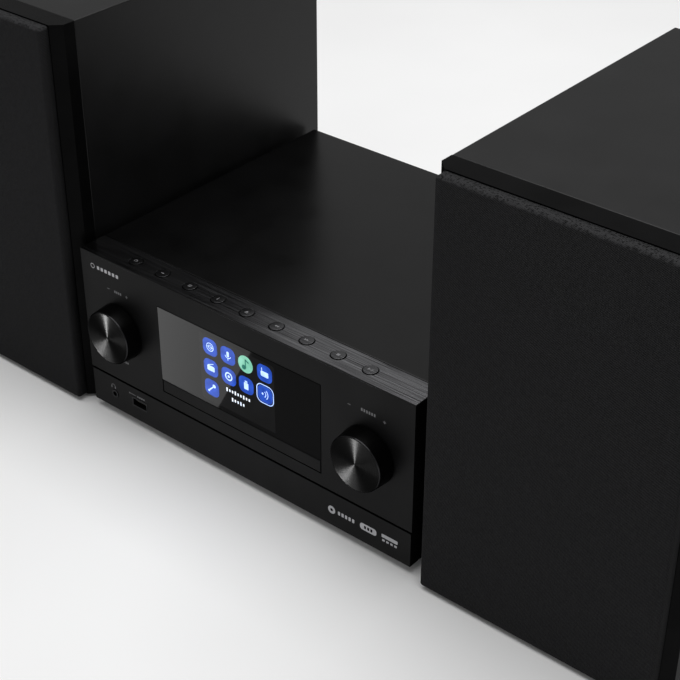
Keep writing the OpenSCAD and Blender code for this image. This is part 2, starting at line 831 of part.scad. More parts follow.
grille_frame(right);  // right_grille_frame
grille_cloth(right);  // right_grille_cloth
woofer_frame(right);  // right_woofer_frame
woofer_cone(right);  // right_woofer_cone
tweeter(right);  // right_tweeter
port_tube(right);  // right_port_tube
terminal_plate(right);  // right_terminal_plate
speaker_feet(right);  // right_feet
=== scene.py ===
"""Looks of the mini hifi system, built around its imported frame. Metres, front towards -Y, +Z up."""
import json
import math

import bmesh
import bpy
from mathutils import Euler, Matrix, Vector

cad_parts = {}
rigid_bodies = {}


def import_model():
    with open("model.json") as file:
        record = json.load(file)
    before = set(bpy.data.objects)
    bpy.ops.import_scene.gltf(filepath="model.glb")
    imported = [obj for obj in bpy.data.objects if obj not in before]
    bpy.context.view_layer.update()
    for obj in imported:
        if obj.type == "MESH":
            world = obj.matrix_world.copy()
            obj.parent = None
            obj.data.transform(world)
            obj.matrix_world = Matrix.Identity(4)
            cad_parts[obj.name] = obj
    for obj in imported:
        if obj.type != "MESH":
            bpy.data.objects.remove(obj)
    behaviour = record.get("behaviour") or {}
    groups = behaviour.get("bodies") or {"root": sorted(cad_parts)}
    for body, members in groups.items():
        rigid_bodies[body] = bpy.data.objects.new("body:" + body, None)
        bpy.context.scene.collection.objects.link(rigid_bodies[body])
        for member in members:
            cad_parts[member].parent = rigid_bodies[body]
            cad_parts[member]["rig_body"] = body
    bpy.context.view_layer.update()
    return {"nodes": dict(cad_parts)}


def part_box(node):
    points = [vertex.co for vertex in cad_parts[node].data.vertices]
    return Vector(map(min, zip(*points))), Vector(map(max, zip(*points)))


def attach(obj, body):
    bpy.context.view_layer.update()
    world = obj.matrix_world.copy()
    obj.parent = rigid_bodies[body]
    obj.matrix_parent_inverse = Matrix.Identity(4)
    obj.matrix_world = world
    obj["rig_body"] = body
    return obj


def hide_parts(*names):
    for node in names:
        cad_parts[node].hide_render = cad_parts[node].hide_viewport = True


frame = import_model()

MM = 0.001
TINY = 0.001 * MM
SIDES = ("left", "right")
BUTTONS = ("power", "source", "menu", "info", "eject", "previous", "next", "stop", "play")
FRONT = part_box("fascia")[0].y
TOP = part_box("top_strip")[1].z
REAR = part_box("rear_panel")[1].y


# ---------- materials ----------

class Paint:
    """A procedural material. Its textures are read in object space, in metres."""

    def __init__(self, name, **sockets):
        self.material = bpy.data.materials.new(name)
        self.material.use_nodes = True
        self.tree = self.material.node_tree
        self.shader = self.tree.nodes["Principled BSDF"]
        for socket, value in sockets.items():
            self.shader.inputs[socket.replace("_", " ")].default_value = value

    def node(self, kind, inputs=None, **settings):
        node = self.tree.nodes.new(kind)
        for key, value in settings.items():
            setattr(node, key, value)
        for socket, value in (inputs or {}).items():
            if isinstance(value, bpy.types.NodeSocket):
                self.tree.links.new(value, node.inputs[socket])
            else:
                node.inputs[socket].default_value = value
        return node

    def position(self, scale=(1, 1, 1)):
        where = self.node("ShaderNodeTexCoord").outputs["Object"]
        return self.node("ShaderNodeMapping", {"Vector": where, "Scale": scale}).outputs["Vector"]

    def noise(self, size, stretch=(1, 1, 1), detail=3.0):
        """Noise with features about size across, in metres, longer along the axes with a large stretch."""
        scale = [1 / (size * s) for s in stretch]
        inputs = {"Vector": self.position(scale), "Scale": 1.0, "Detail": detail, "Roughness": 0.6}
        return self.node("ShaderNodeTexNoise", inputs).outputs["Fac"]

    def sum(self, a, b, weight=1.0):
        """a plus b times its weight."""
        return self.node("ShaderNodeMath", {0: b, 1: weight, 2: a}, operation="MULTIPLY_ADD").outputs[0]

    def product(self, a, b):
        return self.node("ShaderNodeMath", {0: a, 1: b}, operation="MULTIPLY").outputs[0]

    def blend(self, value, low, high, start=0.3, end=0.7):
        """Low where the value is start, and high where it is end."""
        inputs = {"Value": value, "From Min": start, "From Max": end, "To Min": low, "To Max": high}
        return self.node("ShaderNodeMapRange", inputs).outputs["Result"]

    def colour(self, value, dark, light, start=0.3, end=0.7):
        ramp = self.node("ShaderNodeValToRGB", {"Fac": value})
        ramp.color_ramp.elements[0].position = start
        ramp.color_ramp.elements[1].position = end
        ramp.color_ramp.elements[0].color = (*dark, 1)
        ramp.color_ramp.elements[1].color = (*light, 1)
        self.link(ramp.outputs["Color"], "Base Color")
        return ramp.outputs["Color"]

    def roughness(self, value, low, high, start=0.3, end=0.7):
        self.link(self.blend(value, low, high, start, end), "Roughness")

    def bump(self, height, depth):
        node = self.node("ShaderNodeBump", {"Height": height, "Distance": depth, "Strength": 1.0})
        self.link(node.outputs["Normal"], "Normal")

    def link(self, output, socket):
        self.tree.links.new(output, self.shader.inputs[socket])


def grey(value):
    """A grey that is very slightly cool."""
    return (value, value, value * 1.04)


def specular(level):
    """How strongly a paint that isn't metal mirrors its surroundings. Usual plastic is 0.5."""
    return {"Specular_IOR_Level": level}


METAL = {"Metallic": 1.0}


def grained(name, dark, light, rough, grain, depth, cloud=30, **sockets):
    """Paint, plastic or plating: fine grain in its relief, and slow clouds in its colour and gloss. The
    grain's size, its depth and the clouds' size are in millimetres."""
    paint = Paint(name, **sockets)
    clouds = paint.noise(cloud * MM, detail=2.0)
    fine = paint.noise(grain * MM, detail=4.0)
    mixed = paint.sum(clouds, fine, 0.5)
    paint.colour(mixed, dark, light, 0.55, 0.95)
    paint.roughness(mixed, *rough)
    paint.bump(fine, depth * MM)
    return paint.material


def brushed(name, dark, light, rough):
    """Metal brushed along X."""
    paint = Paint(name, Anisotropic=0.4, Anisotropic_Rotation=0.25, **METAL)
    tangent = paint.node("ShaderNodeTangent", direction_type="RADIAL", axis="Y")
    paint.link(tangent.outputs["Tangent"], "Tangent")
    coarse = paint.noise(0.9 * MM, (70, 1, 1), 2.0)
    fine = paint.noise(0.25 * MM, (90, 1, 1), 3.0)
    streaks = paint.sum(coarse, fine, 0.6)
    paint.colour(streaks, dark, light, 0.55, 1.0)
    paint.roughness(streaks, *rough, 0.5, 1.1)
    paint.bump(streaks, 0.02 * MM)
    return paint.material


def spun(name, dark, light, rough, slope, grazing):
    """Metal turned in rings about Y, on a face that slopes back to its edge. Grazing is how much of the
    light that comes in flat it mirrors, from 0 to 1."""
    tint = (grazing, grazing, grazing, 1)
    paint = Paint(name, Anisotropic=0.9, Anisotropic_Rotation=0.25, Specular_Tint=tint, **METAL)
    flat = paint.position((1, 0, 1))
    radius = paint.node("ShaderNodeVectorMath", {0: flat}, operation="LENGTH").outputs["Value"]
    ring_inputs = {"W": radius, "Scale": 4500.0, "Detail": 3.0}
    rings = paint.node("ShaderNodeTexNoise", ring_inputs, noise_dimensions="1D").outputs["Fac"]
    paint.colour(rings, dark, light)
    paint.roughness(rings, *rough)
    grooves = paint.product(rings, 0.01 * MM)
    paint.bump(paint.sum(grooves, radius, -slope), 1.0)
    tangent = paint.node("ShaderNodeTangent", direction_type="RADIAL", axis="Y")
    paint.link(tangent.outputs["Tangent"], "Tangent")
    return paint.material


def knitted(name, dark, light, pitch, **sockets):
    """Open acoustic cloth: small holes in staggered rows, a pitch apart in millimetres, on all its sides.
    Its faces that point up get pale specks painted into their colour: a painted highlight of the light that
    falls on its top."""
    paint = Paint(name, **sockets)
    axes = paint.node("ShaderNodeSeparateXYZ", {"Vector": paint.position()}).outputs

    def wave(total):
        turned = paint.product(total, math.tau / (pitch * MM))
        return paint.node("ShaderNodeMath", {0: turned}, operation="SINE").outputs[0]

    across = paint.sum(axes["X"], axes["Y"])
    up = paint.sum(axes["Z"], axes["Y"])
    holes = paint.product(wave(across), wave(up))
    # Painted highlight: faces that point up are made lighter with pale specks, for the light falling on the
    # cloth's top.
    normal = paint.node("ShaderNodeNewGeometry").outputs["Normal"]
    upward = paint.node("ShaderNodeSeparateXYZ", {"Vector": normal}).outputs["Z"]
    painted_top_light_mask = paint.blend(upward, 0.0, 1.0, 0.2, 0.9)
    painted_top_specks = paint.blend(paint.noise(1.5 * MM, detail=1.0), -0.3, 1.9, 0.35, 0.65)
    uneven = paint.noise(0.7 * MM, (1, 1, 3), 2.0)
    yarn_and_painted_top_light = paint.sum(paint.sum(holes, uneven, 0.7), paint.product(painted_top_light_mask, painted_top_specks))
    paint.colour(yarn_and_painted_top_light, dark, light, 0.0, 0.8)
    paint.roughness(yarn_and_painted_top_light, 0.95, 0.7, 0.0, 1.2)
    paint.bump(yarn_and_painted_top_light, 0.18 * MM)
    return paint.material


def lit(name, low, high, strength, size=6):
    """A lit part of the display, a little brighter in places that are about size millimetres across."""
    paint = Paint(name, Roughness=0.04, Emission_Strength=strength, **specular(0.035))
    colour = paint.colour(paint.noise(size * MM, detail=1.0), low, high)
    paint.link(colour, "Emission Color")
    return paint.material


def coatings():
    """Paints, lacquers and prints."""
    return {
        "cover": grained("cover_paint", grey(0.0008), grey(0.0018), (0.22, 0.27), 0.25, 0.004,
                         **specular(0.29)),
        "fascia": grained("fascia_paint", grey(0.003), grey(0.006), (0.36, 0.44), 0.2, 0.005,
                          **specular(0.09)),
        "vinyl": grained("cabinet_vinyl", grey(0.002), grey(0.0045), (0.32, 0.40), 0.45, 0.02,
                         **specular(0.25)),
        "baffle": grained("baffle_lacquer", grey(0.0015), grey(0.003), (0.22, 0.28), 0.3, 0.006,
                          **specular(0.03)),
        # Near black: painted shade on the side faces of the front panels and the window, so the gaps between
        # them read dark; also the black of the badges' cut-out marks.
        "gap": grained("dark_gap", grey(0.0008), grey(0.0016), (0.9, 1.0), 0.5, 0.01, **specular(0.05)),
        "board": grained("solder_mask", (0.010, 0.07, 0.030), (0.02, 0.12, 0.05), (0.25, 0.5), 1.5, 0.04, 6),
        "print": grained("white_print", grey(0.38), grey(0.50), (0.5, 0.6), 0.3, 0.002),
        "faint": grained("grey_print", grey(0.13), grey(0.19), (0.5, 0.6), 0.3, 0.002),
    }


def plastics():
    """Mouldings, rubber, the window's pane and the drivers' soft parts."""
    return {
        "moulding": grained("black_moulding", grey(0.006), grey(0.012), (0.45, 0.6), 0.3, 0.015,
                            **specular(0.29)),
        "tray": grained("tray_moulding", grey(0.010), grey(0.018), (0.38, 0.5), 0.3, 0.012),
        "gloss": grained("gloss_moulding", grey(0.004), grey(0.007), (0.12, 0.2), 0.8, 0.002),
        "skirt": grained("knob_skirt", grey(0.0008), grey(0.0016), (0.24, 0.32), 0.3, 0.004,
                         **specular(0.05)),
        "rubber": grained("rubber", grey(0.012), grey(0.022), (0.75, 0.9), 0.4, 0.03),
        "acetal": grained("natural_acetal", (0.62, 0.59, 0.50), (0.72, 0.70, 0.62), (0.4, 0.5), 0.8, 0.01),
        "red": grained("red_collar", (0.35, 0.012, 0.012), (0.45, 0.02, 0.02), (0.3, 0.4), 0.6, 0.01),
        "collar": grained("black_collar", grey(0.008), grey(0.014), (0.3, 0.4), 0.6, 0.01),
        "cone": grained("coated_paper", grey(0.02), grey(0.035), (0.6, 0.75), 0.9, 0.05),
        "surround": grained("surround_rubber", grey(0.012), grey(0.018), (0.5, 0.62), 0.5, 0.01),
        "dome": grained("silk_dome", grey(0.015), grey(0.028), (0.55, 0.7), 0.3, 0.03, Sheen_Weight=0.3),
        "cloth": knitted("grille_cloth", grey(0.002), grey(0.036), 1.0, **specular(0.06)),
        "glass": grained("window_pane", grey(0.0006), grey(0.0010), (0.03, 0.05), 8, 0.0004, 60,
                         **specular(0.035)),
    }


def metals():
    """Plated, cast, brushed and turned metal."""
    return {
        "dark_metal": grained("dark_plate", grey(0.02), grey(0.05), (0.3, 0.45), 0.8, 0.004, **METAL),
        "steel": grained("zinc_plate", (0.42, 0.43, 0.45), (0.62, 0.62, 0.60), (0.25, 0.45), 3, 0.004, 12,
                         **METAL),
        "alloy": grained("cast_alloy", grey(0.5), grey(0.7), (0.3, 0.45), 0.5, 0.01, **METAL),
        "brass": grained("gilt_contact", (0.70, 0.50, 0.22), (0.85, 0.65, 0.32), (0.18, 0.3), 1, 0.003,
                         **METAL),
        "nickel": grained("nickel_plate", grey(0.55), grey(0.72), (0.15, 0.28), 0.8, 0.003, **METAL),
        "strip": brushed("brushed_strip", grey(0.025), grey(0.33), (0.15, 0.24)),
        "button": brushed("brushed_button", grey(0.02), grey(0.20), (0.18, 0.26)),
        "spun": spun("spun_knob_face", (0.003,) * 3, (0.006,) * 3, (0.27, 0.33), slope=0.21, grazing=0.48),
        "rim": spun("cut_rim", grey(0.02), grey(0.04), (0.2, 0.28), slope=0.0, grazing=0.3),
    }


def display_lights():
    """The display's dark ground, its tiles and their marks."""
    return {
        "screen": lit("screen_ground", (0.003, 0.003, 0.003), (0.0045, 0.0045, 0.0048), 0.5, 20),
        "blue": lit("screen_blue", (0.008, 0.032, 0.21), (0.013, 0.050, 0.31), 0.95),
        "pale_green": lit("screen_green", (0.10, 0.29, 0.20), (0.15, 0.37, 0.28), 0.85),
        "deep_green": lit("screen_deep_green", (0.012, 0.09, 0.07), (0.02, 0.12, 0.09), 0.85),
        "pale_blue": lit("screen_pale_blue", (0.28, 0.40, 0.72), (0.38, 0.50, 0.84), 1.0),
        "white": lit("screen_white", (0.48, 0.53, 0.62), (0.60, 0.64, 0.72), 0.8),
    }


PAINTS = {**coatings(), **plastics(), **metals(), **display_lights()}


# ---------- mesh helpers ----------

def finish_piece(name, bm, paints, body, at=(0, 0, 0), stands_for=(), sharp=40):
    """Turns a bmesh into a piece that rides on a body and may stand for CAD nodes."""
    bmesh.ops.recalc_face_normals(bm, faces=bm.faces)
    mesh = bpy.data.meshes.new(name)
    bm.to_mesh(mesh)
    bm.free()
    for paint in paints:
        mesh.materials.append(PAINTS[paint])
    mesh.shade_smooth()
    mesh.set_sharp_from_angle(angle=math.radians(sharp))
    piece = bpy.data.objects.new(name, mesh)
    bpy.context.scene.collection.objects.link(piece)
    piece.location = at
    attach(piece, body)
    if stands_for:
        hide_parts(*stands_for)
    return piece


def body_of(node):
    return frame["nodes"][node]["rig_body"]


def refine(node, paint, radius=0.3 * MM, segments=2, rest=None, axis=1):
    """The CAD node's own shape with its edges rounded. Rest, if given, is the paint of the faces that don't
    face along the axis: 1 is Y and 2 is Z."""
    bm = bmesh.new()
    bm.from_mesh(frame["nodes"][node].data)
    bmesh.ops.remove_doubles(bm, verts=bm.verts, dist=TINY)
    bmesh.ops.dissolve_limit(bm, angle_limit=math.radians(0.5), verts=bm.verts, edges=bm.edges)
    for face in bm.faces:
        face.material_index = 1 if rest and abs(face.normal[axis]) < 0.5 else 0
    paints = [paint, rest] if rest else [paint]
    piece = finish_piece(node + "_shell", bm, paints, body_of(node), stands_for=[node])
    bevel = piece.modifiers.new("edges", "BEVEL")
    bevel.width = radius
    bevel.segments = segments
    bevel.limit_method = "ANGLE"
    bevel.angle_limit = math.radians(40)
    flat = piece.modifiers.new("flat_faces", "WEIGHTED_NORMAL")
    flat.keep_sharp = True
    return piece


def repaint(node, paint):
    """Gives a CAD node that keeps its own mesh one of the paints."""
    for slot in frame["nodes"][node].material_slots:
        slot.material = PAINTS[paint]


def turn(bm, outline, axis="Y", steps=96, slots=None, centre=(0, 0, 0)):
    """A solid of revolution from (radius, distance along the axis) points. Slots, if given, holds each
    stretch's material."""
    rings = []
    for radius, along in outline:
        count = steps if radius > TINY else 1
        ring = []
        for k in range(count):
            angle = math.tau * k / steps
            u, v = radius * math.cos(angle), radius * math.sin(angle)
            point = (u, along, v) if axis == "Y" else (u, v, along)
            ring.append(bm.verts.new(Vector(centre) + Vector(point)))
        rings.append(ring)
    for i, (a, b) in enumerate(zip(rings, rings[1:])):
        for k in range(steps):
            corners = [a[k % len(a)], a[(k + 1) % len(a)], b[(k + 1) % len(b)], b[k % len(b)]]
            corners = list(dict.fromkeys(corners))
            if len(corners) > 2:
                bm.faces.new(corners).material_index = slots[i] if slots else 0


def metres(points):
    """Points given in millimetres."""
    return [(u * MM, v * MM) for u, v in points]


def filleted(points, radius, steps=5):
    """A polyline of (u, v) points with all its corners but the ends rounded by curves."""
    result = [points[0]]
    for before, corner, after in zip(points, points[1:], points[2:]):
        a, c, b = Vector(before), Vector(corner), Vector(after)
        reach = min(radius, (a - c).length * 0.45, (b - c).length * 0.45)
        start, end = c + (a - c).normalized() * reach, c + (b - c).normalized() * reach
        for k in range(steps + 1):
            t = k / steps
            result.append(tuple((1 - t) ** 2 * start + 2 * t * (1 - t) * c + t ** 2 * end))
    result.append(points[-1])
    return result


def box_mesh(bm, low, high, radius=0.0, segments=3):
    """A box, with rounded edges where a radius is given."""
    verts = bmesh.ops.create_cube(bm, size=1)["verts"]
    low, high = Vector(low), Vector(high)
    for vert in verts:
        vert.co = Vector(lo + (c + 0.5) * (hi - lo) for lo, hi, c in zip(low, high, vert.co))
    if radius:
        edges = {edge for vert in verts for edge in vert.link_edges}
        bmesh.ops.bevel(bm, geom=list(edges), offset=radius, segments=segments, profile=0.5, affect="EDGES")


# ---------- flat printed shapes, as lists of outlines in millimetres ----------

def bar(u0, v0, u1, v1):
    return [[(u0, v0), (u1, v0), (u1, v1), (u0, v1)]]


def arc(u, v, radius, width, start, end, steps=16):
    angles = [math.radians(start + (end - start) * k / steps) for k in range(steps + 1)]
    inside = radius - width
    outer = [(u + radius * math.cos(a), v + radius * math.sin(a)) for a in angles]
    inner = [(u + inside * math.cos(a), v + inside * math.sin(a)) for a in reversed(angles)]
    return [outer + inner]


def ring(u, v, radius, width):
    return arc(u, v, radius, width, 0, 180) + arc(u, v, radius, width, 180, 360)


def disc(u, v, radius, steps=28):
    return [[(u + radius * math.cos(math.tau * k / steps), v + radius * math.sin(math.tau * k / steps))
             for k in range(steps)]]


def rounded(u, v, width, height, radius, steps=6):
    outline = []
    for quarter, (su, sv) in enumerate(((1, 1), (-1, 1), (-1, -1), (1, -1))):
        for k in range(steps + 1):
            a = math.radians(90 * (quarter + k / steps))
            outline.append((u + su * (width / 2 - radius) + radius * math.cos(a),
                            v + sv * (height / 2 - radius) + radius * math.sin(a)))
    return [outline]


def line(u0, v0, u1, v1, width):
    along = Vector((u1 - u0, v1 - v0)).normalized() * width / 2
    across = Vector((-along.y, along.x))
    start, end = Vector((u0, v0)), Vector((u1, v1))
    return [[tuple(start + across), tuple(start - across), tuple(end - across), tuple(end + across)]]


def rounded_frame(u, v, size, radius, width):
    """A square frame with round corners. Its size and radius are those of its outer edge."""
    half = size / 2 - radius
    reach = (size - width) / 2
    shapes = []
    for quarter, (su, sv) in enumerate(((1, 1), (-1, 1), (-1, -1), (1, -1))):
        shapes += arc(u + su * half, v + sv * half, radius, width, 90 * quarter, 90 * quarter + 90, 8)
    for side in (-1, 1):
        shapes += line(u - half, v + side * reach, u + half, v + side * reach, width)
        shapes += line(u + side * reach, v - half, u + side * reach, v + half, width)
    return shapes


def moved(shapes, du, dv, scale=1.0):
    return [[(du + u * scale, dv + v * scale) for u, v in outline] for outline in shapes]


def printed(name, layers, origin, body, upright=True, thickness=0.03):
    """Flat shapes that stand thickness proud of a face: the front if upright, or a top face. Each layer is
    (paint, shapes, height of its underside), in millimetres."""
    bm = bmesh.new()
    paints = []
    across = Vector((1, 0, 0))
    up = Vector((0, 0, 1)) if upright else Vector((0, 1, 0))
    out = Vector((0, -1, 0)) if upright else Vector((0, 0, 1))
    for paint, shapes, height in layers:
        if paint not in paints:
            paints.append(paint)
        for outline in shapes:
            low = [bm.verts.new(MM * (across * u + up * v + out * height)) for u, v in outline]
            high = [bm.verts.new(vert.co + out * thickness * MM) for vert in low]
            faces = [bm.faces.new(low), bm.faces.new(high)]
            for k in range(len(low)):
                after = (k + 1) % len(low)
                faces.append(bm.faces.new([low[k], low[after], high[after], high[k]]))
            for face in faces:
                face.material_index = paints.index(paint)
    return finish_piece(name, bm, paints, body, at=origin, sharp=20)


# ---------- centre unit ----------

def build_casing():
    """The casing's plates, panels and sockets."""
    refine("top_cover", "cover", 0.9 * MM, 3)
    # The fascia, lower panel, door and window have their side faces in the near-black paint: painted shade
    # in the gaps between them.
    refine("fascia", "fascia", 0.25 * MM, 2, "gap")
    refine("top_strip", "strip", 0.04 * MM, 1, "fascia", 2)
    refine("lower_panel", "fascia", 0.35 * MM, 2, "gap")
    refine("drawer_door", "fascia", 0.5 * MM, 3, "gap")
    refine("display_window", "glass", 0.2 * MM, 2, "gap")
    refine("rear_panel", "cover", 0.15 * MM)
    refine("bottom_chassis", "steel", 0.15 * MM)
    refine("unit_feet", "rubber", 0.8 * MM, 3)
    refine("case_screws", "steel", 0.2 * MM)
    refine("mains_inlet", "gloss", 0.5 * MM, 3)
    refine("speaker_sockets", "moulding", 0.4 * MM)
    refine("aerial_socket", "nickel", 0.2 * MM)
    refine("headphone_jack", "dark_metal", 0.25 * MM)
    refine("usb_port", "dark_metal", 0.15 * MM)


def build_inside():
    """The boards and the disc mechanism."""
    paints = {
        "main_board": "board", "control_board": "board", "power_supply": "board", "heatsink": "alloy",
        "display_module": "moulding", "loader_frame": "steel", "disc_clamp": "moulding",
        "knob_encoders": "steel", "cradle": "moulding", "laser_sled": "moulding", "turntable": "alloy",
        "loading_gear": "acetal", "tune_plunger": "acetal",
    }
    for node, paint in paints.items():
        refine(node, paint, 0.15 * MM, 1)
    refine("disc_tray", "tray", 0.4 * MM)


def build_knob(node):
    """A knob: a satin skirt with a cut rim, and a metal face turned in fine rings let into its front."""
    low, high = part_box(node)
    centre = (low + high) / 2
    radius = (high.x - low.x) / 2
    verts = frame["nodes"][node].data.vertices
    flange = [vert.co.y for vert in verts if (vert.co.xz - centre.xz).length > 0.98 * radius]
    depth = max(flange) - low.y
    recess = 0.5 * MM
    face_r = radius - 1.6 * MM
    cut_r = radius - 1.25 * MM
    inside_r = radius - 2.5 * MM
    stem_r = 6 * MM
    web = 4 * MM
    rim = [(0, recess), (face_r, recess), (face_r, 0.12 * MM), (face_r + 0.1 * MM, 0), (cut_r, 0.2 * MM),
           (cut_r + 0.25 * MM, 0.6 * MM)]
    side = filleted([(cut_r + 0.3 * MM, 0.8 * MM), (radius, depth - 0.5 * MM), (radius, depth),
                     (inside_r, depth), (inside_r, web), (stem_r, web), (stem_r, depth), (0, depth)],
                    0.3 * MM)
    at = (centre.x, low.y, centre.z)
    skirt = bmesh.new()
    turn(skirt, rim + side, steps=128, slots=[1] * len(rim) + [0] * len(side))
    finish_piece(node + "_skirt", skirt, ["skirt", "rim"], body_of(node), at, [node], 25)
    plate_r = face_r - 0.05 * MM
    plate_back = recess + 0.1 * MM
    plate = [(0, 0.35 * MM), (face_r * 0.5, 0.25 * MM), (face_r - 0.2 * MM, 0.08 * MM), (plate_r, 0.2 * MM),
             (plate_r, plate_back), (0, plate_back)]
    face = bmesh.new()
    turn(face, plate, steps=128)
    finish_piece(node + "_face", face, ["spun"], body_of(node), at, sharp=25)


def button_marks():
    """A plain generic mark for each button, in millimetres about its middle."""
    triangle = [[(-1.0, -1.1), (1.0, 0), (-1.0, 1.1)]]
    back = [[(-u, v) for u, v in outline] for outline in triangle]
    return {
        "power": arc(0, 0, 1.3, 0.35, -60, 240) + bar(-0.18, 0.4, 0.18, 1.6),
        "source": bar(-1.2, -0.2, 0.4, 0.2) + [[(0.3, -0.8), (1.3, 0), (0.3, 0.8)]],
        "menu": bar(-1.2, 0.7, 1.2, 1.05) + bar(-1.2, -0.18, 1.2, 0.18) + bar(-1.2, -1.05, 1.2, -0.7),
        "info": disc(0, 1.1, 0.32) + bar(-0.25, -1.2, 0.25, 0.5),
        "eject": [[(-1.2, -0.1), (1.2, -0.1), (0, 1.3)]] + bar(-1.2, -1.0, 1.2, -0.55),
        "previous": moved(back, -0.5, 0, 0.8) + moved(back, 1.0, 0, 0.8),
        "next": moved(triangle, -1.0, 0, 0.8) + moved(triangle, 0.5, 0, 0.8),
        "stop": bar(-1.0, -1.0, 1.0, 1.0),
        "play": moved(triangle, -0.8, 0) + bar(0.7, -1.1, 1.05, 1.1) + bar(1.4, -1.1, 1.75, 1.1),
    }


def build_buttons():
    """The round caps in the strip, each with a flange under it, a stem to its switch and a mark on top."""
    marks = button_marks()
    cap_r = 4.9 * MM
    stem_r = 2 * MM
    flange_top = -5.1 * MM
    flange_base = -6.2 * MM
    for name in BUTTONS:
        node = name + "_button"
        low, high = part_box(node)
        centre = (low + high) / 2
        foot = low.z - high.z
        flange_r = (high.x - low.x) / 2
        corners = [(0, 0), (cap_r - 0.35 * MM, 0), (cap_r, -0.35 * MM), (cap_r, flange_top + 0.1 * MM),
                   (flange_r, flange_top), (flange_r, flange_base), (stem_r, flange_base), (stem_r, foot),
                   (0, foot)]
        outline = filleted(corners, 0.25 * MM)
        flat = sum(1 for _, along in outline[1:] if along > -0.05 * MM)
        bm = bmesh.new()
        turn(bm, outline, "Z", 72, [0] * flat + [1] * (len(outline) - flat))
        at = (centre.x, centre.y, high.z)
        finish_piece(node + "_cap", bm, ["button", "skirt"], body_of(node), at, [node], 25)
        printed(node + "_mark", [("faint", marks[name], 0.0)], at, body_of(node), upright=False)


def icon_marks():
    """Generic marks for the nine tiles, in millimetres about each tile's middle."""
    globe = ring(0, 0, 3.6, 0.6) + arc(0, 0, 1.9, 0.5, 90, 270) + arc(0, 0, 1.9, 0.5, -90, 90)
    globe += bar(-3.4, -0.25, 3.4, 0.25)
    microphone = rounded(0, 1.2, 2.4, 4.6, 1.1) + arc(0, 0.8, 3.2, 0.6, 200, 340) + bar(-0.3, -4, 0.3, -2.2)
    note = disc(-1.2, -2.2, 1.5) + bar(-0.35, -2.2, 0.35, 3.2) + line(0, 2.9, 2.4, 1.6, 0.9)
    radio = rounded(0, -0.6, 7.2, 4.4, 0.9) + line(-2.6, 1.8, 2.6, 4.0, 0.6)
    tuner = rounded(0, -0.6, 7.2, 4.4, 0.9) + line(-2.6, 1.8, -2.6, 4.2, 0.6)
    cassette = ring(0, 0, 3.6, 1.1) + disc(0, 0, 1.1)
    stick = rounded(0, -0.8, 4.2, 5.6, 0.6) + rounded(0, 3.0, 2.4, 1.6, 0.2)
    waves = disc(-2.4, 0, 0.9) + arc(-2.4, 0, 3.4, 0.7, -50, 50) + arc(-2.4, 0, 5.4, 0.7, -45, 45)
    lead = line(-3, -3, 1.6, 1.6, 1.0) + disc(2.3, 2.3, 1.5) + disc(-3.2, -3.2, 0.9)
    return [globe, microphone, note, tuner, radio, cassette, stick, waves, lead]


def caption(left, right, v):
    """A stand-in for a line of text: a row of bars of two heights."""
    step, width, low, tall, corner = 2.4, 1.25, 2.1, 3.0, 0.45
    shapes = []
    for k in range(int((right - left) / step)):
        shapes += rounded(left + (k + 0.5) * step, v, width, low if k % 3 else tall, corner)
    return shapes


def build_display():
    """The lit screen in the window: nine tiles with plain marks, one of them framed, and a caption. Places
    are in millimetres from the window's middle and from the unit's top edge."""
    low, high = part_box("display_window")
    origin = ((low.x + high.x) / 2, low.y, TOP)
    columns = (-22.6, -7.1, 7.9, 23.9)
    rows = (-29.2, -44.9, -60.5)
    places = [(u, v) for v in rows for u in columns][:9]
    tile, corner = 12.4, 4.2
    green_tile, framed_tile = 2, 7
    on_ground, on_tile = 0.02, 0.05
    layers = [("screen", rounded(0, -46, 63.4, 50, 1.0), -0.01)]
    for index, ((u, v), mark) in enumerate(zip(places, icon_marks())):
        if index == green_tile:
            layers.append(("pale_green", disc(u, v, tile / 2), on_ground))
            layers.append(("deep_green", moved(mark, u, v, 1.15), on_tile))
        else:
            layers.append(("blue", rounded(u, v, tile, tile, corner), on_ground))
            layers.append(("pale_blue", moved(mark, u, v, 0.88), on_tile))
    layers.append(("pale_blue", rounded_frame(*places[framed_tile], tile + 2, 4.4, 0.6), on_tile))
    layers.append(("white", caption(-10.3, 12.1, -55.5) + caption(-5.8, 7.6, -61.6), on_tile))
    printed("display_picture", layers, origin, "root", thickness=0.02)


def minus(u, v):
    return bar(u - 1.1, v - 0.22, u + 1.1, v + 0.22)


def plus(u, v):
    return minus(u, v) + bar(u - 0.22, v - 1.1, u + 0.22, v + 1.1)


def word(left, right, v, height, letters):
    """A stand-in for a word: a row of small bars."""
    step = (right - left) / letters
    shapes = []
    for k in range(letters):
        shapes += rounded(left + (k + 0.5) * step, v, step * 0.62, height, min(step, height) * 0.15)
    return shapes


